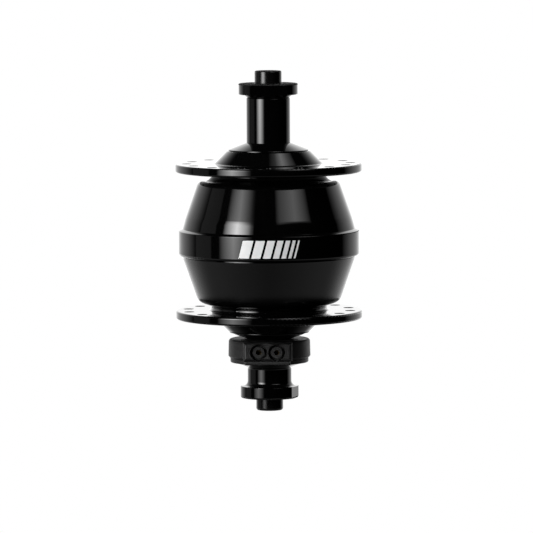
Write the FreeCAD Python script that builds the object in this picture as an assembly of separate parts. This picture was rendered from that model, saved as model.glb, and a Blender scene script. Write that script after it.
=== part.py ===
import FreeCAD, Part
import math
import os

# Front bicycle hub with a built-in generator, for a 100 mm fork and a quick-release skewer.
# Lengths are in millimetres. +Z runs along the axle: the plain (left) end is at +Z and the
# terminal (right) end at -Z. The origin is midway between the two locknut faces.
# The axle, stator and terminal stand still; the shell, magnets and outer rings turn round them.

V = FreeCAD.Vector
AXIS = V(0, 0, 1)

# Axle
OVER_LOCKNUTS = 100.0
AXLE_LENGTH = 108.0
AXLE_END_R = 4.3
AXLE_SHOULDER = 0.1          # the thread ends this far outside the locknut's face
AXLE_THREAD_R = 4.5
AXLE_SEAT_R = 5.0
AXLE_CORE_R = 6.0
SKEWER_BORE_R = 2.6
AXLE_COLLAR_R = 8.0
AXLE_COLLAR_Z = 9.5

# Spoke flanges
FLANGE_R = 29.7
FLANGE_EDGE = 0.6
LEFT_FLANGE = (21.95, 24.6)
RIGHT_FLANGE = (22.05, 24.7)
SPOKES_PER_SIDE = 16
SPOKE_CIRCLE_R = 26.0
SPOKE_HOLE_R = 1.3
SPOKE_SINK_R = 1.7
LEFT_FIRST_SPOKE = 2.1
RIGHT_FIRST_SPOKE = 13.35

# Shell drum
LEFT_SHOULDER = (22.3, 19.25, 2.2)  # radius, height and rounding of the drum's rim
RIGHT_SHOULDER = (22.45, 19.1, 3.0)
NECK_R = 18.3
LEFT_NECK = (19.25, 2.0, 0.6)  # where the drum's face meets it, hollows at the drum and the flange
RIGHT_NECK = (20.6, 0.4, 1.0)
CONE_WAIST = (26.48, 7.4, 16.0)  # radius, height and arc where the upper cone steepens
CONE_FOOT = (27.42, 3.95)
BAND_R = 28.75
BAND_TOP_Z = 3.32
BAND_LOW_Z = -4.6
BAND_EDGES = (0.3, 0.9)      # rounding of the top and the bottom edge
COVER_TOP_Z = -4.95
COVER_TOP_R = 27.4
SPIGOT_R = 25.95
SPIGOT_TOP_Z = -0.3
SEAL_GROOVE = (-3.2, -2.0)
SEAL_GROOVE_R = 24.95

# Bosses round the bearings
BOSS_END_R = 13.15
BOSS_END_Z = 28.6
BOSS_FILLET = 0.8
CAVITY_Z = 15.8
CAVITY_END_R = 20.6
CAVITY_STEP_R = 22.4
WALL_OPENING_R = 9.6

# Cartridge bearing: 10 x 22 x 6
BEARING_BORE_R = AXLE_SEAT_R
BEARING_R = 11.0
BEARING_INNER_Z = 21.8
BEARING_WIDTH = 6.0
BALL_R = 3.175 / 2
BALL_CIRCLE_R = 8.0
BALL_COUNT = 11
RACE_R = 1.65
SEAL_SEAT_R = 9.9
SEAL_R = 9.88
RING_EDGE = 0.3
INNER_RING_R = 7.0
OUTER_RING_BORE_R = 9.0
CAGE_HALF = 2.0
CAGE_WALL = 1.1
POCKET_PLAY = 0.06
SEAL_THICKNESS = 0.4

# Rotor
POLE_PAIRS = 14
POLE_PITCH = 180.0 / POLE_PAIRS
YOKE_R = 23.4
MAGNET_R = 21.8
MAGNET_BORE_R = 19.2
ROTOR_HALF = 9.2
MAGNET_GAP_DEG = 0.7

# Stator
CLAW_R = 18.8
CLAW_INNER_R = 17.0
CLAW_DISC = (6.4, 8.0)
CLAW_TIP_Z = 6.0
CLAW_ROOT_WIDTH = 3.5
CLAW_TIP_WIDTH = 2.3
BOBBIN_FLANGE_R = 16.4
BOBBIN_BARREL_R = 8.5
BOBBIN_HALF = 6.3
COIL_R = 16.0
COIL_HALF = 5.4
CORE_SLEEVE_R = 7.2
STATOR_WASHER = (8.0, 8.8)
STATOR_WASHER_R = 9.2
STATOR_NUT_END = 13.0
STATOR_NUT_FLATS = 17.0

# Dust caps, spacers and locknuts
CAP_R = 12.75
CAP_INNER_Z = 28.7
CAP_LIP_Z = 29.05
CAP_TOP_R = 7.1
CAP_TOP_Z = 31.15
SLEEVE_R = 6.2
SPACER_R = 6.95
SPACER_END_Z = 45.5
LEFT_NUT_R = 9.42
LEFT_NUT_NOSE = (7.9, 6.7)   # radii where the tapered nose starts and ends
LEFT_NUT_Z = 46.5
LEFT_FLATS = 14.8
LEFT_FLATS_ANGLE = -88.5
RIGHT_NUT_R = 9.25
RIGHT_NECK_R = 7.0
RIGHT_NUT_TOP_Z = -46.2
RIGHT_FLATS = 17.0
RIGHT_FLATS_ANGLE = -17.0
RIGHT_FLARE_R = 11.3
RIGHT_FLARE_Z = -38.75
RIGHT_FLARE_END_Z = -40.35
RIGHT_FLARE_ARC = 0.5
RIGHT_NECK_FILLET = 1.5
SERRATIONS = 30
SERRATION_START_R = 5.0
SERRATION_LENGTH = 3.6
SERRATION_WIDTH = 0.45
SERRATION_DEPTH = 0.25

# Terminal collar
TERMINAL_TURN = -2.7
TERMINAL_TOP_Z = -31.15
TERMINAL_SEAM_Z = -37.3
TERMINAL_LOW_Z = -38.6
TERMINAL_R = 13.05
TERMINAL_TOP_R = 12.9
TERMINAL_BASE_R = 12.4
TERMINAL_FRONT = 13.0
TERMINAL_WIDTH = 15.5
SOCKET_SPACING = 5.75
SOCKET_Z = -34.5
WELL_R = 2.65
WELL_DEPTH = 2.2
SOCKET_BOSS_R = 1.85
SOCKET_HOLE_R = 0.85
SOCKET_BOSS_DROP = 0.4
CONTACT_R = 1.15
CONTACT_BORE_R = 0.75
CONTACT_FRONT = 11.6
CONTACT_REAR = 9.2
CONTACT_DEPTH = 2.0

# Lead wires
LEAD_R = 0.5
LEAD_SLOT_X = 1.4
LEAD_SLOT_Y = 3.65
LEAD_SLOT_FLOOR = 3.1
LEAD_SLOT = (-33.0, -14.5)
LEAD_EXIT_Y = 11.0
LEAD_EXIT_X = 2.2
LEAD_TURN_IN_Z = -13.4       # past the stator nut, where a lead turns towards the axle
LEAD_SLOT_Z = (-18.8, -31.2) # where it enters the slot and where it leaves it
LEAD_RISE_Y = 6.4
LEAD_PLAY = 0.12

# Slack between parts that slide over each other when they are put together
SLIP = 0.05


# Shared helpers

def tangent_arc(before, corner, after, radius):
    """Start, middle and end of the arc that rounds a corner between two straight runs."""
    to_before = (before - corner).normalize()
    to_after = (after - corner).normalize()
    half = to_before.getAngle(to_after) / 2
    reach = radius / math.tan(half)
    bisector = (to_before + to_after).normalize()
    middle = corner + bisector * (radius / math.sin(half) - radius)
    return corner + to_before * reach, middle, corner + to_after * reach


def rounded_edges(points, radii, closed):
    """Straight runs through the points, with a tangent arc at each point that has a radius."""
    count = len(points)
    edges = []
    last = None
    first = None
    for i, corner in enumerate(points):
        start = middle = end = corner
        is_end = not closed and i in (0, count - 1)
        if radii[i] > 0 and not is_end:
            start, middle, end = tangent_arc(points[i - 1], corner, points[(i + 1) % count], radii[i])
        if last is not None and (start - last).Length > 1e-6:
            edges.append(Part.LineSegment(last, start).toShape())
        if end != start:
            edges.append(Part.Arc(start, middle, end).toShape())
        first = start if first is None else first
        last = end
    if closed and (first - last).Length > 1e-6:
        edges.append(Part.LineSegment(last, first).toShape())
    return edges


def turned(profile):
    """Solid of revolution about Z from (radius, z[, corner radius]) points."""
    points = [V(corner[0], 0, corner[1]) for corner in profile]
    radii = [corner[2] if len(corner) > 2 else 0 for corner in profile]
    face = Part.Face(Part.Wire(rounded_edges(points, radii, True)))
    return face.revolve(V(0, 0, 0), AXIS, 360)


def ring(inner, outer, low, high, edge=0):
    """Plain ring, with an optional radius on its two outer edges."""
    return turned([(inner, low), (outer, low, edge), (outer, high, edge), (inner, high)])


def mirrored(profile, end):
    """Profile of the same end on the other side of the hub; end is +1 (left) or -1 (right)."""
    return [(corner[0], corner[1] * end) + tuple(corner[2:]) for corner in profile]


def spun(shape, angle):
    """Copy of a shape turned about Z by an angle in degrees."""
    copy = shape.copy()
    copy.rotate(V(0, 0, 0), AXIS, angle)
    return copy


def around(shape, count, first=0.0):
    """Copies of a shape at equal angles about Z."""
    return [spun(shape, first + 360.0 * i / count) for i in range(count)]


def without(shape, tools):
    """The shape with the tools cut away."""
    return shape.cut(Part.makeCompound(list(tools)))


def terminal_box(x, y, z):
    """Box between two corners, in axes turned with the terminal."""
    box = Part.makeBox(x[1] - x[0], y[1] - y[0], z[1] - z[0], V(x[0], y[0], z[0]))
    return spun(box, TERMINAL_TURN)


def terminal_rod(x, radius, front, rear):
    """Round bar along the terminal's own Y, between two distances from the axle's axis."""
    rod = Part.makeCylinder(radius, front - rear, V(x, -front, SOCKET_Z), V(0, 1, 0))
    return spun(rod, TERMINAL_TURN)


# Axle

def axle_blank():
    """Turned axle: ends, threads, bearing seats, core and the collar that locates the stator."""
    half = AXLE_LENGTH / 2
    face = OVER_LOCKNUTS / 2
    seat_end = BEARING_INNER_Z + BEARING_WIDTH
    return turned([
        (SKEWER_BORE_R, half),
        (AXLE_END_R, half, 0.5),
        (AXLE_END_R, face + AXLE_SHOULDER),
        (AXLE_THREAD_R, face + AXLE_SHOULDER),
        (AXLE_THREAD_R, seat_end),
        (AXLE_SEAT_R, seat_end),
        (AXLE_SEAT_R, BEARING_INNER_Z),
        (AXLE_CORE_R, BEARING_INNER_Z),
        (AXLE_CORE_R, AXLE_COLLAR_Z),
        (AXLE_COLLAR_R, AXLE_COLLAR_Z, 0.3),
        (AXLE_COLLAR_R, CLAW_DISC[1]),
        (AXLE_CORE_R, CLAW_DISC[1]),
        (AXLE_CORE_R, -BEARING_INNER_Z),
        (AXLE_SEAT_R, -BEARING_INNER_Z),
        (AXLE_SEAT_R, -seat_end),
        (AXLE_THREAD_R, -seat_end),
        (AXLE_THREAD_R, -face - AXLE_SHOULDER),
        (AXLE_END_R, -face - AXLE_SHOULDER),
        (AXLE_END_R, -half, 0.7),
        (SKEWER_BORE_R, -half),
    ])


def lead_slots():
    """Two slots along the axle that take the lead wires under the right bearing."""
    half_width = LEAD_R + 0.1
    return [terminal_box((x - half_width, x + half_width), (-9.0, -LEAD_SLOT_FLOOR), LEAD_SLOT)
            for x in (-LEAD_SLOT_X, LEAD_SLOT_X)]


def axle():
    return without(axle_blank(), lead_slots() + lead_passages())


# Lead wires

def lead_route(side):
    """Points of one lead: coil, round the stator nut, along the axle slot, out to its contact."""
    socket_x = side * SOCKET_SPACING / 2
    points = [
        V(side * LEAD_EXIT_X, -LEAD_EXIT_Y, -COIL_HALF),
        V(side * LEAD_EXIT_X, -LEAD_EXIT_Y, LEAD_TURN_IN_Z),
        V(side * LEAD_SLOT_X, -LEAD_SLOT_Y, LEAD_SLOT_Z[0]),
        V(side * LEAD_SLOT_X, -LEAD_SLOT_Y, LEAD_SLOT_Z[1]),
        V(socket_x, -LEAD_RISE_Y, SOCKET_Z),
        V(socket_x, -CONTACT_REAR, SOCKET_Z),
    ]
    turn = FreeCAD.Rotation(AXIS, TERMINAL_TURN)
    return [turn.multVec(point) for point in points]


def lead_bend_radii(points):
    """Largest arc that each corner's two runs allow."""
    radii = [0.0] * len(points)
    for i in range(1, len(points) - 1):
        run_in = points[i] - points[i - 1]
        run_out = points[i + 1] - points[i]
        shorter = min(run_in.Length, run_out.Length)
        radii[i] = 0.45 * shorter / math.tan(run_in.getAngle(run_out) / 2)
    return radii


def lead_tube(side, radius):
    """Round tube that follows one lead's route."""
    points = lead_route(side)
    path = Part.Wire(rounded_edges(points, lead_bend_radii(points), False))
    section = Part.Wire(Part.Circle(points[0], AXIS, radius).toShape())
    return path.makePipeShell([section], True, False)


# Bearings

def bearing_centre(end):
    return end * (BEARING_INNER_Z + BEARING_WIDTH / 2)


def race(z):
    """Torus that cuts the ball groove of a ring."""
    return Part.makeTorus(BALL_CIRCLE_R, RACE_R, V(0, 0, z), AXIS)


def bearing_inner_ring(end):
    z = bearing_centre(end)
    half = BEARING_WIDTH / 2
    blank = ring(BEARING_BORE_R, INNER_RING_R, z - half, z + half, RING_EDGE)
    return blank.cut(race(z))


def bearing_outer_ring(end):
    z = bearing_centre(end)
    half = BEARING_WIDTH / 2
    step = SEAL_THICKNESS + 0.1
    blank = turned([
        (OUTER_RING_BORE_R, z - half + step), (SEAL_SEAT_R, z - half + step),
        (SEAL_SEAT_R, z - half), (BEARING_R, z - half, RING_EDGE),
        (BEARING_R, z + half, RING_EDGE), (SEAL_SEAT_R, z + half),
        (SEAL_SEAT_R, z + half - step), (OUTER_RING_BORE_R, z + half - step),
    ])
    return blank.cut(race(z))


def bearing_balls(end):
    ball = Part.makeSphere(BALL_R, V(BALL_CIRCLE_R, 0, bearing_centre(end)))
    return Part.makeCompound(around(ball, BALL_COUNT))


def bearing_cage(end):
    """Thin ring that keeps the balls apart, with a round pocket drilled for each."""
    z = bearing_centre(end)
    pocket = Part.makeCylinder(BALL_R + POCKET_PLAY, 2 * CAGE_WALL,
                               V(BALL_CIRCLE_R - CAGE_WALL, 0, z), V(1, 0, 0))
    inner = BALL_CIRCLE_R - CAGE_WALL / 2
    blank = ring(inner, inner + CAGE_WALL, z - CAGE_HALF, z + CAGE_HALF)
    return without(blank, around(pocket, BALL_COUNT))


def bearing_seals(end):
    """Two rubber-faced shields, held in the outer ring and clear of the inner ring."""
    z = bearing_centre(end)
    half = BEARING_WIDTH / 2
    shields = []
    for side in (-1, 1):
        outer_face = z + side * (half - 0.05)
        inner_face = outer_face - side * SEAL_THICKNESS
        low, high = sorted((outer_face, inner_face))
        shields.append(ring(INNER_RING_R + 0.1, SEAL_R, low, high))
    return Part.makeCompound(shields)


# Shell

def spoke_holes(flange, first, end):
    """Countersunk spoke holes through one flange."""
    low, high = flange
    sink = SPOKE_SINK_R - SPOKE_HOLE_R
    hole = turned(mirrored([
        (0, low - 1), (SPOKE_SINK_R, low - 1), (SPOKE_SINK_R, low), (SPOKE_HOLE_R, low + sink),
        (SPOKE_HOLE_R, high - sink), (SPOKE_SINK_R, high), (SPOKE_SINK_R, high + 1), (0, high + 1),
    ], end))
    hole.translate(V(SPOKE_CIRCLE_R, 0, 0))
    return around(hole, SPOKES_PER_SIDE, first)


def end_profile(flange, neck, shoulder):
    """Outside of one end, from the bearing seat over boss, flange and neck to the drum's rim."""
    inner_face, outer_face = flange
    face_z, drum_hollow, flange_hollow = neck
    foot_r = BOSS_END_R + BOSS_END_Z - outer_face
    return [
        (BEARING_R, BOSS_END_Z),
        (BOSS_END_R, BOSS_END_Z, 0.25),
        (foot_r, outer_face, BOSS_FILLET),
        (FLANGE_R, outer_face, FLANGE_EDGE),
        (FLANGE_R, inner_face, FLANGE_EDGE),
        (NECK_R, inner_face, flange_hollow),
        (NECK_R, face_z, drum_hollow),
        shoulder,
    ]


def seat_profile():
    """Inside of one end, from the cavity's wall through the opening to the bearing seat."""
    return [
        (CAVITY_END_R, CAVITY_Z, 1.0),
        (WALL_OPENING_R, CAVITY_Z, 0.4),
        (WALL_OPENING_R, BEARING_INNER_Z),
        (BEARING_R, BEARING_INNER_Z),
    ]


def shell():
    """Left flange, neck, upper cone and band, with the yoke's seat and the cover's socket."""
    body = turned(end_profile(LEFT_FLANGE, LEFT_NECK, LEFT_SHOULDER) + [
        CONE_WAIST,
        CONE_FOOT,
        (BAND_R, BAND_TOP_Z, BAND_EDGES[0]),
        (BAND_R, BAND_LOW_Z, BAND_EDGES[1]),
        (SPIGOT_R + SLIP, BAND_LOW_Z),
        (SPIGOT_R + SLIP, 0),
        (YOKE_R, 0),
        (YOKE_R, ROTOR_HALF),
        (CAVITY_STEP_R, ROTOR_HALF),
    ] + seat_profile())
    return without(body, spoke_holes(LEFT_FLANGE, LEFT_FIRST_SPOKE, 1))


def shell_cover():
    """Right flange, neck and lower cone, with the spigot that plugs into the shell."""
    groove_low, groove_high = SEAL_GROOVE
    body = turned(mirrored(end_profile(RIGHT_FLANGE, RIGHT_NECK, RIGHT_SHOULDER), -1) + [
        (COVER_TOP_R, COVER_TOP_Z, 0.05),
        (SPIGOT_R, COVER_TOP_Z),
        (SPIGOT_R, groove_low), (SEAL_GROOVE_R, groove_low),
        (SEAL_GROOVE_R, groove_high), (SPIGOT_R, groove_high),
        (SPIGOT_R, SPIGOT_TOP_Z),
        (YOKE_R + SLIP, SPIGOT_TOP_Z),
        (YOKE_R + SLIP, -ROTOR_HALF),
        (CAVITY_STEP_R, -ROTOR_HALF),
    ] + mirrored(seat_profile(), -1))
    return without(body, spoke_holes(RIGHT_FLANGE, RIGHT_FIRST_SPOKE, -1))


def shell_o_ring():
    low, high = SEAL_GROOVE
    section = (SPIGOT_R - SEAL_GROOVE_R) / 2
    return Part.makeTorus(SEAL_GROOVE_R + section, section, V(0, 0, (low + high) / 2), AXIS)


# Rotor

def magnet_yoke():
    return ring(MAGNET_R, YOKE_R, SLIP - ROTOR_HALF, ROTOR_HALF)


def magnets(first_pole):
    """Every second magnet of the ring, all with the same pole inward."""
    half = ROTOR_HALF - 0.6
    sweep = POLE_PITCH - MAGNET_GAP_DEG
    corners = [V(MAGNET_BORE_R, 0, -half), V(MAGNET_R, 0, -half),
               V(MAGNET_R, 0, half), V(MAGNET_BORE_R, 0, half)]
    face = Part.Face(Part.makePolygon(corners + corners[:1]))
    bar = face.revolve(V(0, 0, 0), AXIS, sweep)
    first = first_pole * POLE_PITCH - sweep / 2
    return Part.makeCompound(around(bar, POLE_PAIRS, first))


# Stator

def claw_finger(end):
    """One tapered pole finger, from its disc over the coil to the other side."""
    root = end * CLAW_DISC[1]
    tip = -end * CLAW_TIP_Z
    outline = [V(0, -CLAW_ROOT_WIDTH / 2, root), V(0, CLAW_ROOT_WIDTH / 2, root),
               V(0, CLAW_TIP_WIDTH / 2, tip), V(0, -CLAW_TIP_WIDTH / 2, tip)]
    face = Part.Face(Part.makePolygon(outline + outline[:1]))
    face.translate(V(CLAW_INNER_R - 1, 0, 0))
    wedge = face.extrude(V(3, 0, 0))
    low, high = sorted((root, tip))
    return wedge.common(ring(CLAW_INNER_R, CLAW_R, low, high))


def claw_pole(end):
    """One half of the iron stator: a disc on the axle's core with a finger at every pole pair."""
    low, high = sorted((end * CLAW_DISC[0], end * CLAW_DISC[1]))
    root_circle = ring(AXLE_CORE_R, CLAW_INNER_R + 0.6, low, high)
    first = 0.0 if end > 0 else POLE_PITCH
    fingers = around(claw_finger(end), POLE_PAIRS, first)
    return root_circle.multiFuse(fingers).removeSplitter()


def coil_bobbin():
    flange = BOBBIN_HALF - 0.8
    return turned([
        (CORE_SLEEVE_R + SLIP, -BOBBIN_HALF), (BOBBIN_FLANGE_R, -BOBBIN_HALF, 0.2),
        (BOBBIN_FLANGE_R, -flange, 0.2), (BOBBIN_BARREL_R, -flange),
        (BOBBIN_BARREL_R, flange), (BOBBIN_FLANGE_R, flange, 0.2),
        (BOBBIN_FLANGE_R, BOBBIN_HALF, 0.2), (CORE_SLEEVE_R + SLIP, BOBBIN_HALF),
    ])


def hexagon_nut(low, high, bore):
    corner_r = STATOR_NUT_FLATS / 2 / math.cos(math.pi / 6)
    corners = [V(corner_r, 0, 0)]
    corners += [spun(Part.Vertex(corners[0]), 60 * i).Point for i in range(1, 6)]
    face = Part.Face(Part.makePolygon(corners + corners[:1]))
    face.translate(V(0, 0, low))
    blank = face.extrude(V(0, 0, high - low))
    crown = turned([(0, low), (corner_r - 0.7, low), (corner_r, low + 0.5),
                    (corner_r, high), (0, high)])
    hole = Part.makeCylinder(bore, high - low, V(0, 0, low))
    return spun(blank.common(crown).cut(hole), TERMINAL_TURN)


# Dust caps, spacers and locknuts

def dust_cap(end):
    return turned(mirrored([
        (SLEEVE_R + SLIP, CAP_INNER_Z),
        (CAP_R, CAP_INNER_Z, 0.1),
        (CAP_R, CAP_LIP_Z, 0.15),
        (CAP_TOP_R, CAP_TOP_Z, 0.1),
        (SLEEVE_R + SLIP, CAP_TOP_Z),
    ], end))


def spacer_left():
    seat_end = BEARING_INNER_Z + BEARING_WIDTH
    bore = AXLE_THREAD_R + SLIP
    return turned([
        (bore, seat_end), (SLEEVE_R, seat_end), (SLEEVE_R, CAP_TOP_Z),
        (SPACER_R, CAP_TOP_Z, 0.1), (SPACER_R, SPACER_END_Z, 0.35), (bore, SPACER_END_Z),
    ])


def spacer_right():
    seat_end = BEARING_INNER_Z + BEARING_WIDTH
    sleeve = ring(AXLE_THREAD_R + SLIP, SLEEVE_R, TERMINAL_TOP_Z, -seat_end)
    return without(sleeve, lead_passages())


def wrench_flats(across, radius, low, high, angle):
    """Two opposite slabs that leave a ring with flats for a cone spanner."""
    slab = Part.makeBox(radius, 4 * radius, high - low, V(across / 2, -2 * radius, low))
    return around(slab, 2, angle)


def serrations(face_z):
    """Shallow radial grooves that bite into the fork."""
    corner = V(SERRATION_START_R, -SERRATION_WIDTH / 2, face_z - SERRATION_DEPTH)
    tooth = Part.makeBox(SERRATION_LENGTH, SERRATION_WIDTH, 2 * SERRATION_DEPTH, corner)
    return around(tooth, SERRATIONS, 180.0 / SERRATIONS)


def locknut_left():
    """Locknut with a tapered nose against the spacer; the wrench flats run through both."""
    face = OVER_LOCKNUTS / 2
    bore = AXLE_THREAD_R + SLIP
    nose_start, nose_end = LEFT_NUT_NOSE
    blank = turned([
        (bore, SPACER_END_Z), (nose_end, SPACER_END_Z), (nose_start, LEFT_NUT_Z),
        (LEFT_NUT_R, LEFT_NUT_Z, 0.25), (LEFT_NUT_R, face, 0.4), (bore, face),
    ])
    flats = wrench_flats(LEFT_FLATS, LEFT_NUT_R, SPACER_END_Z, face, LEFT_FLATS_ANGLE)
    return without(blank, flats + serrations(face))


def locknut_right():
    """Long-nosed locknut: a flared neck against the terminal, and a ring with wrench flats."""
    face = -OVER_LOCKNUTS / 2
    bore = AXLE_THREAD_R + SLIP
    blank = turned([
        (bore, TERMINAL_LOW_Z), (RIGHT_FLARE_R, TERMINAL_LOW_Z), (RIGHT_FLARE_R, RIGHT_FLARE_Z),
        (RIGHT_NECK_R, RIGHT_FLARE_END_Z, RIGHT_FLARE_ARC),
        (RIGHT_NECK_R, RIGHT_NUT_TOP_Z + 0.2, RIGHT_NECK_FILLET),
        (RIGHT_NUT_R, RIGHT_NUT_TOP_Z, 0.2), (RIGHT_NUT_R, face, 0.6), (bore, face),
    ])
    flats = wrench_flats(RIGHT_FLATS, RIGHT_NUT_R, face, RIGHT_NUT_TOP_Z, RIGHT_FLATS_ANGLE)
    return without(blank, flats + serrations(face))


# Terminal

def terminal_sockets():
    return (-SOCKET_SPACING / 2, SOCKET_SPACING / 2)


def terminal_disc(profile, width, front, low, high, edge):
    """Round collar with a flat-fronted block on its near side, the block's edges rounded."""
    block = Part.makeBox(width, front - 4, high - low, V(-width / 2, -front, low))
    front_edges = [e for e in block.Edges if max(v.Y for v in e.Vertexes) < 0.1 - front]
    block = spun(block.makeFillet(edge, front_edges), TERMINAL_TURN)
    disc = turned(profile)
    bore = Part.makeCylinder(AXLE_THREAD_R + SLIP, high - low, V(0, 0, low))
    return disc.fuse(block).cut(bore).removeSplitter()


def terminal_housing():
    """Plastic collar with two wells, each with a raised boss that hides its contact."""
    bore = AXLE_THREAD_R + SLIP
    top = TERMINAL_TOP_Z
    low = TERMINAL_SEAM_Z
    body = terminal_disc([
        (bore, top), (TERMINAL_TOP_R, top, 0.9), (TERMINAL_R, low + 0.75, 0.2),
        (TERMINAL_R - 0.7, low), (bore, low),
    ], TERMINAL_WIDTH, TERMINAL_FRONT, low, top - 0.2, 1.0)
    cuts = lead_passages()
    floor = TERMINAL_FRONT - WELL_DEPTH
    for x in terminal_sockets():
        well = terminal_rod(x, WELL_R, TERMINAL_FRONT + 1, floor)
        boss = terminal_rod(x, SOCKET_BOSS_R, TERMINAL_FRONT - SOCKET_BOSS_DROP, floor)
        cuts.append(well.cut(boss))
        cuts.append(terminal_rod(x, SOCKET_BOSS_R, TERMINAL_FRONT + 1,
                                 TERMINAL_FRONT - SOCKET_BOSS_DROP))
        cuts.append(terminal_rod(x, SOCKET_HOLE_R, TERMINAL_FRONT, CONTACT_FRONT))
        cuts.append(terminal_rod(x, CONTACT_R + 0.02, CONTACT_FRONT, CONTACT_REAR))
    return without(body, cuts)


def terminal_base():
    bore = AXLE_THREAD_R + SLIP
    low = TERMINAL_LOW_Z
    high = TERMINAL_SEAM_Z
    return terminal_disc([
        (bore, high), (TERMINAL_BASE_R, high, 0.1), (TERMINAL_BASE_R, low, 0.3), (bore, low),
    ], TERMINAL_WIDTH - 1.0, TERMINAL_FRONT - 0.4, low, high, 0.4)


def terminal_contacts():
    """Two metal sockets, open to the front and closed where the leads are soldered on."""
    contacts = []
    for x in terminal_sockets():
        body = terminal_rod(x, CONTACT_R, CONTACT_FRONT, CONTACT_REAR)
        hole = terminal_rod(x, CONTACT_BORE_R, CONTACT_FRONT, CONTACT_FRONT - CONTACT_DEPTH)
        contacts.append(body.cut(hole))
    return Part.makeCompound(contacts)


def lead_passages():
    return [lead_tube(side, LEAD_R + LEAD_PLAY) for side in (-1, 1)]


def bearing_nodes():
    """The five pieces of each cartridge bearing."""
    nodes = {}
    for end, name in ((1, "left"), (-1, "right")):
        nodes[f"bearing_{name}_inner_ring"] = bearing_inner_ring(end)
        nodes[f"bearing_{name}_outer_ring"] = bearing_outer_ring(end)
        nodes[f"bearing_{name}_balls"] = bearing_balls(end)
        nodes[f"bearing_{name}_cage"] = bearing_cage(end)
        nodes[f"bearing_{name}_seals"] = bearing_seals(end)
    return nodes


def stator_nodes():
    passages = lead_passages()
    return {
        "stator_core": ring(AXLE_CORE_R, CORE_SLEEVE_R, -CLAW_DISC[0], CLAW_DISC[0]),
        "claw_pole_left": claw_pole(1),
        "claw_pole_right": without(claw_pole(-1), passages),
        "coil_bobbin": without(coil_bobbin(), passages),
        "coil_winding": ring(BOBBIN_BARREL_R + SLIP, COIL_R, -COIL_HALF, COIL_HALF, 0.4),
        "stator_washer": ring(AXLE_CORE_R + SLIP, STATOR_WASHER_R,
                              -STATOR_WASHER[1], -STATOR_WASHER[0], 0.1),
        "stator_nut": hexagon_nut(-STATOR_NUT_END, -STATOR_WASHER[1], AXLE_CORE_R + SLIP),
    }


def outer_nodes():
    return {
        "axle": axle(),
        "locknut_left": locknut_left(),
        "locknut_right": locknut_right(),
        "spacer_left": spacer_left(),
        "spacer_right": spacer_right(),
        "dust_cap_left": dust_cap(1),
        "dust_cap_right": dust_cap(-1),
        "terminal_housing": terminal_housing(),
        "terminal_base": terminal_base(),
        "terminal_contacts": terminal_contacts(),
        "lead_wire_a": lead_tube(-1, LEAD_R),
        "lead_wire_b": lead_tube(1, LEAD_R),
    }


def rotor_nodes():
    return {
        "shell": shell(),
        "shell_cover": shell_cover(),
        "shell_o_ring": shell_o_ring(),
        "magnet_yoke": magnet_yoke(),
        "magnets_north": magnets(0),
        "magnets_south": magnets(1),
    }


def main():
    os.makedirs("parts", exist_ok=True)
    nodes = {**outer_nodes(), **bearing_nodes(), **stator_nodes(), **rotor_nodes()}
    for name, shape in nodes.items():
        shape.exportStep(f"parts/{name}.step")
        print(name, "valid" if shape.isValid() else "INVALID", "solids", len(shape.Solids),
              "volume", round(shape.Volume, 1))


main()
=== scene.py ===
"""Front hub dynamo: finishes, printed stripes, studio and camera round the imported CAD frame."""
import math

import bmesh
import bpy
from mathutils import Matrix, Vector


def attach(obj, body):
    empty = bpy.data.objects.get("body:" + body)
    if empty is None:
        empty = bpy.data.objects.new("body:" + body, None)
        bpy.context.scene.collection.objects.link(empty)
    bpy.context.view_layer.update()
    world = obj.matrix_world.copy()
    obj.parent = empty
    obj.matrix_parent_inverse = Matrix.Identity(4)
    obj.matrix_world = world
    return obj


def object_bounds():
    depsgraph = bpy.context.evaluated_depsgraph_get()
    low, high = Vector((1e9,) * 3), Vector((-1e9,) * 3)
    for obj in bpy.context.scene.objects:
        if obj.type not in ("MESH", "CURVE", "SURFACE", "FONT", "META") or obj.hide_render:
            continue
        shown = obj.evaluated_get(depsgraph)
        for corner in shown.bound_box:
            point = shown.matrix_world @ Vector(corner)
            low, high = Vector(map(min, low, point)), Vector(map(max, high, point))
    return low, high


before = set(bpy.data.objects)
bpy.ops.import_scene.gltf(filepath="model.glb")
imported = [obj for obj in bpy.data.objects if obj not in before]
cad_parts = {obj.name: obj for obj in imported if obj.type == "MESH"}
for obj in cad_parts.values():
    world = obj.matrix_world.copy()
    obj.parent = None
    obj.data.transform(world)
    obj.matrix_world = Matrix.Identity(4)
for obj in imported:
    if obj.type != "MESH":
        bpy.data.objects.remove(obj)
cad_low, cad_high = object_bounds()

MM = 0.001

# Camera, in metres and degrees
CAMERA_PLACE = Vector((-0.0008, -1.795, 0.1433))
CAMERA_TARGET = Vector((-0.0008, 0.0, -0.00825))
CAMERA_LENS = 383.0
CAMERA_SENSOR = 36.0
CAMERA_ROLL = -0.29

# Printed stripes on the band of the shell, in millimetres
BAND_R = 28.75
PRINT_HEIGHT = 5.6
PRINT_MIDDLE_Z = -0.6
PRINT_LIFT = 0.02
PRINT_SINK = 0.03
PRINT_SLANT = 1.5
PRINT_START = -9.0
STRIPES = ((3.4, 0.75), (2.9, 0.75), (2.4, 0.75), (1.9, 0.75), (1.45, 0.75), (1.0, 0.75), (0.6, 0.0))

# Rough stretches along the axle in millimetres: lowest height, highest height, blend, roughness
SERRATED_FACES = ((49.6, 60.0, 0.05, 0.8), (-60.0, -49.6, 0.05, 0.8))
AXLE_TIPS = ((53.8, 60.0, 0.05, 0.8), (-60.0, -53.8, 0.05, 0.8))
LOWER_CONE = (-19.0, -5.2, 0.4, 0.24)

# Winding, in millimetres
WIRE_PITCH = 0.5

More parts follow.
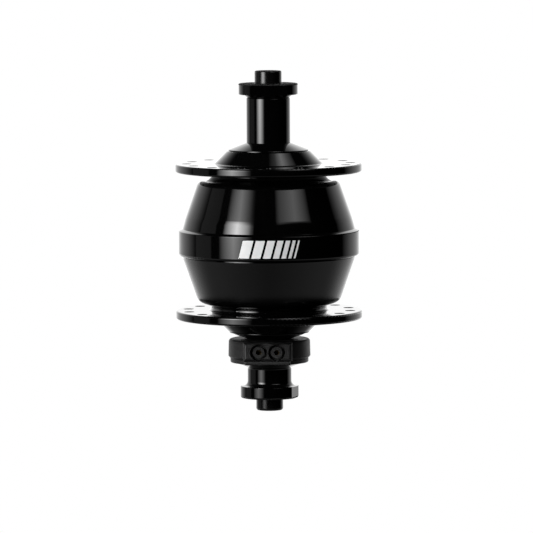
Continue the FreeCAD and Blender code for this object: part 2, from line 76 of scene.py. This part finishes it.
# Room that glossy surfaces mirror: (degrees away from the camera's side, brightness), the same on
# both sides. The white backdrop stands behind the object and the front is dark; the table is dimmer.
BACKDROP = ((0, 0.0), (107, 0.0), (125, 0.55), (150, 1.0), (165, 1.5), (180, 1.6))
TABLE = ((0, 0.14), (85, 0.28), (122, 0.53), (153, 1.0), (180, 1.5))
SIDE_CARD = (-107, -79, 1.5, 0.18)  # dim card on the left: compass angles, soft edge, brightness
ROOM_STRENGTH = 2.0
ROOM_DARK = 0.004

# Softboxes: brightness over each side, from 0 to 1, as a soft rise to a peak and a fall
SOFTBOX_DISTANCE = 0.6
LEFT_ACROSS = ((0.0, 0.0), (0.46, 1.0), (0.9, 0.08), (1.0, 0.0))
LEFT_ALONG = ((0.0, 0.15), (0.12, 0.25), (0.22, 0.65), (0.66, 1.0), (0.76, 0.25), (1.0, 0.0))
RIGHT_ACROSS = ((0.25, 0.0), (0.34, 0.4), (0.62, 1.0), (0.97, 0.0))
RIGHT_ALONG = ((0.14, 0.0), (0.3, 1.0), (0.66, 1.0), (0.9, 0.0))
ABOVE_ACROSS = ((0.0, 0.0), (0.25, 0.2), (0.5, 1.0), (0.75, 0.35), (1.0, 0.0))
ABOVE_ALONG = ((0.0, 0.0), (0.1, 1.0), (0.9, 1.0), (1.0, 0.0))

FLOOR_REACH = 3.0
FLOOR_GAP = 0.0001


# Node helpers

class Graph:
    """Short names for adding and linking shader nodes."""

    def __init__(self, tree):
        self.tree = tree
        self.tree.nodes.clear()

    def node(self, kind, inputs=(), **settings):
        node = self.tree.nodes.new(kind)
        for name, value in settings.items():
            setattr(node, name, value)
        for key, value in dict(inputs).items():
            self.feed(node.inputs[key], value)
        return node

    def feed(self, socket, value):
        if isinstance(value, bpy.types.NodeSocket):
            self.tree.links.new(value, socket)
        else:
            socket.default_value = value

    def math(self, operation, first, second=0.0, third=0.0, clamp=False):
        node = self.node("ShaderNodeMath", {0: first, 1: second, 2: third}, operation=operation)
        node.use_clamp = clamp
        return node.outputs[0]

    def smooth(self, value, low, high, start=0.0, end=1.0):
        node = self.node("ShaderNodeMapRange", {
            "Value": value, "From Min": low, "From Max": high, "To Min": start, "To Max": end,
        }, interpolation_type="SMOOTHSTEP")
        return node.outputs["Result"]

    def linear(self, value, low, high, start, end):
        node = self.node("ShaderNodeMapRange", {
            "Value": value, "From Min": low, "From Max": high, "To Min": start, "To Max": end,
        })
        return node.outputs["Result"]

    def ramp(self, value, stops):
        """Grey ramp from (position, brightness) pairs; positions run from 0 to 1."""
        node = self.node("ShaderNodeValToRGB", {"Fac": value})
        elements = node.color_ramp.elements
        elements[0].position = stops[0][0]
        elements[1].position = stops[-1][0]
        for place, _ in stops[1:-1]:
            elements.new(place)
        for element, (_, grey) in zip(elements, stops):
            element.color = (grey, grey, grey, 1.0)
        return node.outputs["Color"]

    def noise(self, vector, scale, detail=3.0, roughness=0.5):
        node = self.node("ShaderNodeTexNoise", {
            "Vector": vector, "Scale": scale, "Detail": detail, "Roughness": roughness,
        })
        return node.outputs["Fac"]

    def colour_mix(self, factor, first, second):
        node = self.node("ShaderNodeMix", {"Factor": factor}, data_type="RGBA")
        self.feed(node.inputs[6], first)
        self.feed(node.inputs[7], second)
        return node.outputs[2]


def grey(value, tint=(1.0, 1.0, 1.0)):
    return (value * tint[0], value * tint[1], value * tint[2], 1.0)


# Finishes

def turned_vector(g):
    """Height along the axle and distance from it, so that noise runs in rings like turning marks."""
    place = g.node("ShaderNodeTexCoord").outputs["Object"]
    parts = g.node("ShaderNodeSeparateXYZ", {0: place})
    across = g.math("POWER", parts.outputs["X"], 2.0)
    depth = g.math("POWER", parts.outputs["Y"], 2.0)
    radius = g.math("SQRT", g.math("ADD", across, depth))
    return g.node("ShaderNodeCombineXYZ", {"X": radius, "Y": parts.outputs["Z"]}).outputs[0]


def object_vector(g):
    return g.node("ShaderNodeTexCoord").outputs["Object"]


def height_mask(g, low, high, soft):
    """One between two heights along the axle in millimetres, nought beyond them."""
    height = g.node("ShaderNodeSeparateXYZ", {0: object_vector(g)}).outputs["Z"]
    above = g.smooth(height, (low - soft) * MM, (low + soft) * MM)
    below = g.smooth(height, (high + soft) * MM, (high - soft) * MM)
    return g.math("MULTIPLY", above, below)


def finish_material(name, dark, light, rough, metallic=0.0, turned=0.0, grain=0.0, grain_scale=4000.0,
                    wear=None, ior=1.5, coat=0.0, patch_scale=120.0, satin=()):
    """Surface with patchy tone and gloss, fine grain, optional turning marks and bright worn edges.

    satin lists rougher stretches along the axle: lowest height, highest height, blend, roughness.
    """
    material = bpy.data.materials.new(name)
    material.use_nodes = True
    g = Graph(material.node_tree)
    place = object_vector(g)
    patches = g.noise(place, patch_scale, 4.0, 0.6)
    fine = g.noise(place, grain_scale, 2.0, 0.5)
    tone = g.math("ADD", g.math("MULTIPLY", patches, 0.65), g.math("MULTIPLY", fine, 0.35))
    colour = g.colour_mix(g.smooth(tone, 0.3, 0.7), dark, light)
    rings = g.noise(turned_vector(g), 9000.0, 2.0, 0.6)
    gloss = g.linear(g.math("ADD", patches, g.math("MULTIPLY", rings, turned)), 0.3, 0.7 + turned,
                     rough[0], rough[1])
    for low, high, soft, roughness in satin:
        gloss = g.linear(height_mask(g, low, high, soft), 0.0, 1.0, gloss, roughness)
    if wear is not None:
        edge = g.node("ShaderNodeNewGeometry").outputs["Pointiness"]
        broken = g.math("ADD", edge, g.linear(g.noise(place, 900.0), 0.0, 1.0, -0.02, 0.02))
        worn = g.smooth(broken, 0.54, 0.60)
        colour = g.colour_mix(g.math("MULTIPLY", worn, wear[1]), colour, wear[0])
    height = g.math("ADD", g.math("MULTIPLY", fine, grain), g.math("MULTIPLY", rings, turned))
    bump = g.node("ShaderNodeBump", {"Strength": 0.35, "Distance": 0.00001, "Height": height})
    shader = g.node("ShaderNodeBsdfPrincipled", {
        "Base Color": colour, "Roughness": gloss, "Metallic": metallic, "IOR": ior,
        "Coat Weight": coat, "Coat Roughness": 0.08, "Normal": bump.outputs["Normal"],
    })
    g.node("ShaderNodeOutputMaterial", {"Surface": shader.outputs[0]})
    return material


def make_finishes():
    """One material for each material slot of the record."""
    gloss_tint = (0.95, 0.97, 1.0)
    return {
        "gloss_black_anodised": finish_material(
            "gloss_black_anodised", grey(0.0008, gloss_tint), grey(0.0016, gloss_tint), (0.045, 0.075),
            turned=0.05, grain=0.10, patch_scale=60.0,
            satin=(*SERRATED_FACES, LOWER_CONE)),
        "black_axle": finish_material(
            "black_axle", grey(0.0015), grey(0.004), (0.14, 0.22), turned=0.35, grain=0.2,
            wear=(grey(0.03), 0.5), satin=AXLE_TIPS),
        "black_plastic": finish_material(
            "black_plastic", grey(0.008), grey(0.013), (0.42, 0.55), grain=1.2, grain_scale=7000.0),
        "bearing_steel": finish_material(
            "bearing_steel", grey(0.52), grey(0.62, (1.0, 1.0, 1.02)), (0.10, 0.20), metallic=1.0,
            turned=0.35),
        "cage_brass": finish_material(
            "cage_brass", (0.48, 0.33, 0.12, 1.0), (0.60, 0.43, 0.17, 1.0), (0.25, 0.4), metallic=1.0,
            grain=0.4),
        "seal_rubber": finish_material(
            "seal_rubber", grey(0.012), grey(0.022), (0.55, 0.7), grain=1.0, grain_scale=6000.0),
        "electrical_iron": finish_material(
            "electrical_iron", grey(0.30, (1.0, 0.98, 0.95)), grey(0.42), (0.35, 0.5), metallic=1.0,
            grain=0.8, patch_scale=300.0),
        "zinc_steel": finish_material(
            "zinc_steel", grey(0.50, (0.97, 0.99, 1.03)), grey(0.64), (0.22, 0.36), metallic=1.0,
            turned=0.4, patch_scale=400.0),
        "magnet_ferrite": finish_material(
            "magnet_ferrite", grey(0.035), grey(0.06, (1.02, 1.0, 0.97)), (0.5, 0.68), grain=1.3,
            grain_scale=5000.0),
        "bobbin_plastic": finish_material(
            "bobbin_plastic", (0.42, 0.36, 0.26, 1.0), (0.52, 0.46, 0.35, 1.0), (0.4, 0.52), grain=0.6),
        "copper_wire": copper_winding(),
        "contact_brass": finish_material(
            "contact_brass", (0.10, 0.075, 0.04, 1.0), (0.16, 0.12, 0.06, 1.0), (0.3, 0.45), metallic=1.0,
            turned=0.3),
        "lead_insulation": finish_material(
            "lead_insulation", (0.35, 0.02, 0.015, 1.0), (0.46, 0.035, 0.025, 1.0), (0.35, 0.48),
            grain=0.5),
    }


def copper_winding():
    """Rows of enamelled wire laid side by side along the coil."""
    material = bpy.data.materials.new("copper_wire")
    material.use_nodes = True
    g = Graph(material.node_tree)
    parts = g.node("ShaderNodeSeparateXYZ", {0: object_vector(g)})
    phase = g.math("MULTIPLY", parts.outputs["Z"], 2.0 * math.pi / (WIRE_PITCH * MM))
    row = g.math("ADD", g.math("MULTIPLY", g.math("SINE", phase), 0.5), 0.5)
    patches = g.noise(object_vector(g), 500.0, 3.0)
    # Darker copper where the sine dips, in the grooves between turns: painted shade.
    colour = g.colour_mix(g.smooth(row, 0.0, 0.5), (0.09, 0.02, 0.008, 1.0), (0.62, 0.22, 0.08, 1.0))
    colour = g.colour_mix(g.linear(patches, 0.3, 0.7, 0.0, 0.4), colour, (0.45, 0.12, 0.04, 1.0))
    bump = g.node("ShaderNodeBump", {"Strength": 1.0, "Distance": 0.00015, "Height": row})
    shader = g.node("ShaderNodeBsdfPrincipled", {
        "Base Color": colour, "Roughness": g.linear(patches, 0.3, 0.7, 0.2, 0.34), "Metallic": 0.9,
        "Coat Weight": 0.5, "Normal": bump.outputs["Normal"],
    })
    g.node("ShaderNodeOutputMaterial", {"Surface": shader.outputs[0]})
    return material


def dress_nodes(finishes):
    """Gives every CAD node the finish of its slot."""
    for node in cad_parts.values():
        for slot in node.material_slots:
            base = slot.material.name.split(".")[0]
            slot.material = finishes[base]


# Printed stripes

def stripe_mesh(mesh, start, width):
    """One slanted bar, closed, lying on the band."""
    steps = max(2, int(width / 0.25))
    levels = 6
    grid = {}
    for side, lift in ((0, -PRINT_SINK), (1, PRINT_LIFT)):
        for i in range(steps + 1):
            for j in range(levels + 1):
                up = j / levels - 0.5
                along = start + width * i / steps + PRINT_SLANT * up
                angle = along / BAND_R
                radius = (BAND_R + lift) * MM
                place = Vector((math.sin(angle) * radius, -math.cos(angle) * radius,
                                (PRINT_MIDDLE_Z + PRINT_HEIGHT * up) * MM))
                grid[side, i, j] = mesh.verts.new(place)

    def quad(*corners):
        mesh.faces.new([grid[c] for c in corners])

    for i in range(steps):
        for j in range(levels):
            quad((1, i, j), (1, i + 1, j), (1, i + 1, j + 1), (1, i, j + 1))
            quad((0, i, j), (0, i, j + 1), (0, i + 1, j + 1), (0, i + 1, j))
        quad((0, i, 0), (0, i + 1, 0), (1, i + 1, 0), (1, i, 0))
        quad((0, i, levels), (1, i, levels), (1, i + 1, levels), (0, i + 1, levels))
    for j in range(levels):
        quad((0, 0, j), (1, 0, j), (1, 0, j + 1), (0, 0, j + 1))
        quad((0, steps, j), (0, steps, j + 1), (1, steps, j + 1), (1, steps, j))


def printed_stripes():
    mesh = bmesh.new()
    start = PRINT_START
    for width, gap in STRIPES:
        stripe_mesh(mesh, start, width)
        start += width + gap
    bmesh.ops.recalc_face_normals(mesh, faces=mesh.faces)
    data = bpy.data.meshes.new("band_stripes")
    mesh.to_mesh(data)
    mesh.free()
    piece = bpy.data.objects.new("band_stripes", data)
    bpy.context.scene.collection.objects.link(piece)
    data.materials.append(finish_material(
        "white_print", grey(0.86), grey(0.92), (0.3, 0.42), grain=0.6, patch_scale=400.0))
    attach(piece, "hub_shell")
    return piece


# Studio

def room_stops(shape):
    """Degrees as ramp positions; brightness over the room's strength to stay under one."""
    return [(angle / 180, value / ROOM_STRENGTH) for angle, value in shape]


def make_world():
    """White to the camera; mirrored surfaces see a white room behind and a dark one in front."""
    world = bpy.data.worlds.new("studio")
    bpy.context.scene.world = world
    world.use_nodes = True
    g = Graph(world.node_tree)
    direction = g.node("ShaderNodeTexCoord").outputs["Generated"]
    parts = g.node("ShaderNodeSeparateXYZ", {0: direction})
    turn = g.math("ARCTAN2", parts.outputs["X"], g.math("MULTIPLY", parts.outputs["Y"], -1.0))
    away = g.math("ABSOLUTE", turn)
    compass = g.linear(away, 0.0, math.pi, 0.0, 1.0)
    height = g.math("ARCSINE", parts.outputs["Z"])
    backdrop = g.ramp(compass, room_stops(BACKDROP))
    table = g.ramp(compass, room_stops(TABLE))
    first, last, soft, card_level = SIDE_CARD
    card_start = g.smooth(turn, math.radians(first - soft), math.radians(first + soft))
    card_end = g.smooth(turn, math.radians(last + soft), math.radians(last - soft))
    card = g.math("MULTIPLY", g.math("MULTIPLY", card_start, card_end), card_level / ROOM_STRENGTH)
    backdrop = g.math("MAXIMUM", backdrop, card)
    down = g.smooth(height, math.radians(-10), math.radians(-24))
    mirrored = g.colour_mix(down, backdrop, table)
    sky = g.smooth(height, math.radians(45), math.radians(20))
    behind = g.smooth(away, math.radians(80), math.radians(115))
    floor_front = g.smooth(height, math.radians(-60), math.radians(-45))
    floor_back = g.math("ADD", g.smooth(height, math.radians(-36), math.radians(-20), 0.0, 0.8),
                        g.smooth(height, math.radians(-62), math.radians(-30), 0.0, 0.2))
    ground = g.linear(behind, 0.0, 1.0, floor_front, floor_back)
    mirrored = g.colour_mix(g.math("MULTIPLY", sky, ground), grey(ROOM_DARK), mirrored)
    seen = g.node("ShaderNodeLightPath").outputs["Is Camera Ray"]
    room = g.node("ShaderNodeBackground", {"Color": mirrored, "Strength": ROOM_STRENGTH})
    white = g.node("ShaderNodeBackground", {"Color": grey(1.0), "Strength": 1.0})
    both = g.node("ShaderNodeMixShader", {0: seen, 1: room.outputs[0], 2: white.outputs[0]})
    g.node("ShaderNodeOutputWorld", {"Surface": both.outputs[0]})


def softbox(name, centre, sideways, upward, half_size, across, along, strength):
    """Flat glowing panel that only mirrored surfaces see.

    across and along are its brightness profiles, from 0 to 1 over each side.
    """
    corners = []
    for side, rise in ((-1, -1), (1, -1), (1, 1), (-1, 1)):
        corners.append(sideways * side * half_size[0] + upward * rise * half_size[1])
    data = bpy.data.meshes.new(name)
    data.from_pydata(corners, [], [(3, 2, 1, 0)])
    data.update()
    light = bpy.data.objects.new(name, data)
    light.location = centre
    bpy.context.scene.collection.objects.link(light)
    light.visible_camera = False
    light.visible_shadow = False
    material = bpy.data.materials.new(name)
    material.use_nodes = True
    g = Graph(material.node_tree)
    place = g.node("ShaderNodeTexCoord").outputs["Object"]
    shape = strength
    for direction, half, profile in ((sideways, half_size[0], across), (upward, half_size[1], along)):
        reach = g.node("ShaderNodeVectorMath", {0: place, 1: direction}, operation="DOT_PRODUCT")
        part = g.linear(reach.outputs["Value"], -half, half, 0.0, 1.0)
        shape = g.math("MULTIPLY", g.ramp(part, profile), shape)
    glow = g.node("ShaderNodeEmission", {"Color": grey(1.0), "Strength": shape})
    g.node("ShaderNodeOutputMaterial", {"Surface": glow.outputs[0]})
    data.materials.append(material)


def upright_softbox(name, compass, low, high, half_width, across, along, strength):
    turn = math.radians(compass)
    centre = Vector((math.sin(turn), -math.cos(turn), 0.0)) * SOFTBOX_DISTANCE
    centre.z = (low + high) / 2
    sideways = Vector((math.cos(turn), math.sin(turn), 0.0))
    softbox(name, centre, sideways, Vector((0, 0, 1)), (half_width, (high - low) / 2), across, along,
            strength)


def make_floor():
    data = bpy.data.meshes.new("floor")
    reach = FLOOR_REACH
    height = cad_low.z - FLOOR_GAP
    corners = [(-reach, -reach, height), (reach, -reach, height), (reach, reach, height),
               (-reach, reach, height)]
    data.from_pydata(corners, [], [(0, 1, 2, 3)])
    data.update()
    floor = bpy.data.objects.new("floor", data)
    bpy.context.scene.collection.objects.link(floor)
    floor.visible_glossy = False
    floor.visible_diffuse = False
    material = bpy.data.materials.new("floor")
    material.use_nodes = True
    g = Graph(material.node_tree)
    glow = g.node("ShaderNodeEmission", {"Color": grey(1.0), "Strength": 1.0})
    g.node("ShaderNodeOutputMaterial", {"Surface": glow.outputs[0]})
    data.materials.append(material)


def make_studio():
    make_world()
    make_floor()
    upright_softbox("softbox_left", -43.0, -0.125, 0.50, 0.245, LEFT_ACROSS, LEFT_ALONG, 17.0)
    upright_softbox("softbox_right", 30.0, 0.28, 0.56, 0.44, RIGHT_ACROSS, RIGHT_ALONG, 2.15)
    softbox("softbox_above", Vector((0.168, 0.02, SOFTBOX_DISTANCE)), Vector((1, 0, 0)),
            Vector((0, 1, 0)), (0.168, 0.18), ABOVE_ACROSS, ABOVE_ALONG, 2.6)


def make_camera():
    data = bpy.data.cameras.new("camera")
    data.sensor_width = CAMERA_SENSOR
    data.lens = CAMERA_LENS
    data.clip_start = 0.01
    data.clip_end = 20.0
    camera = bpy.data.objects.new("camera", data)
    bpy.context.scene.collection.objects.link(camera)
    camera.location = CAMERA_PLACE
    aim = (CAMERA_TARGET - CAMERA_PLACE).to_track_quat("-Z", "Y").to_matrix().to_4x4()
    roll = Matrix.Rotation(math.radians(CAMERA_ROLL), 4, "Z")
    camera.rotation_euler = (aim @ roll).to_euler()
    bpy.context.scene.camera = camera


dress_nodes(make_finishes())
printed_stripes()
make_studio()
make_camera()
bpy.context.scene.view_settings.view_transform = "Standard"
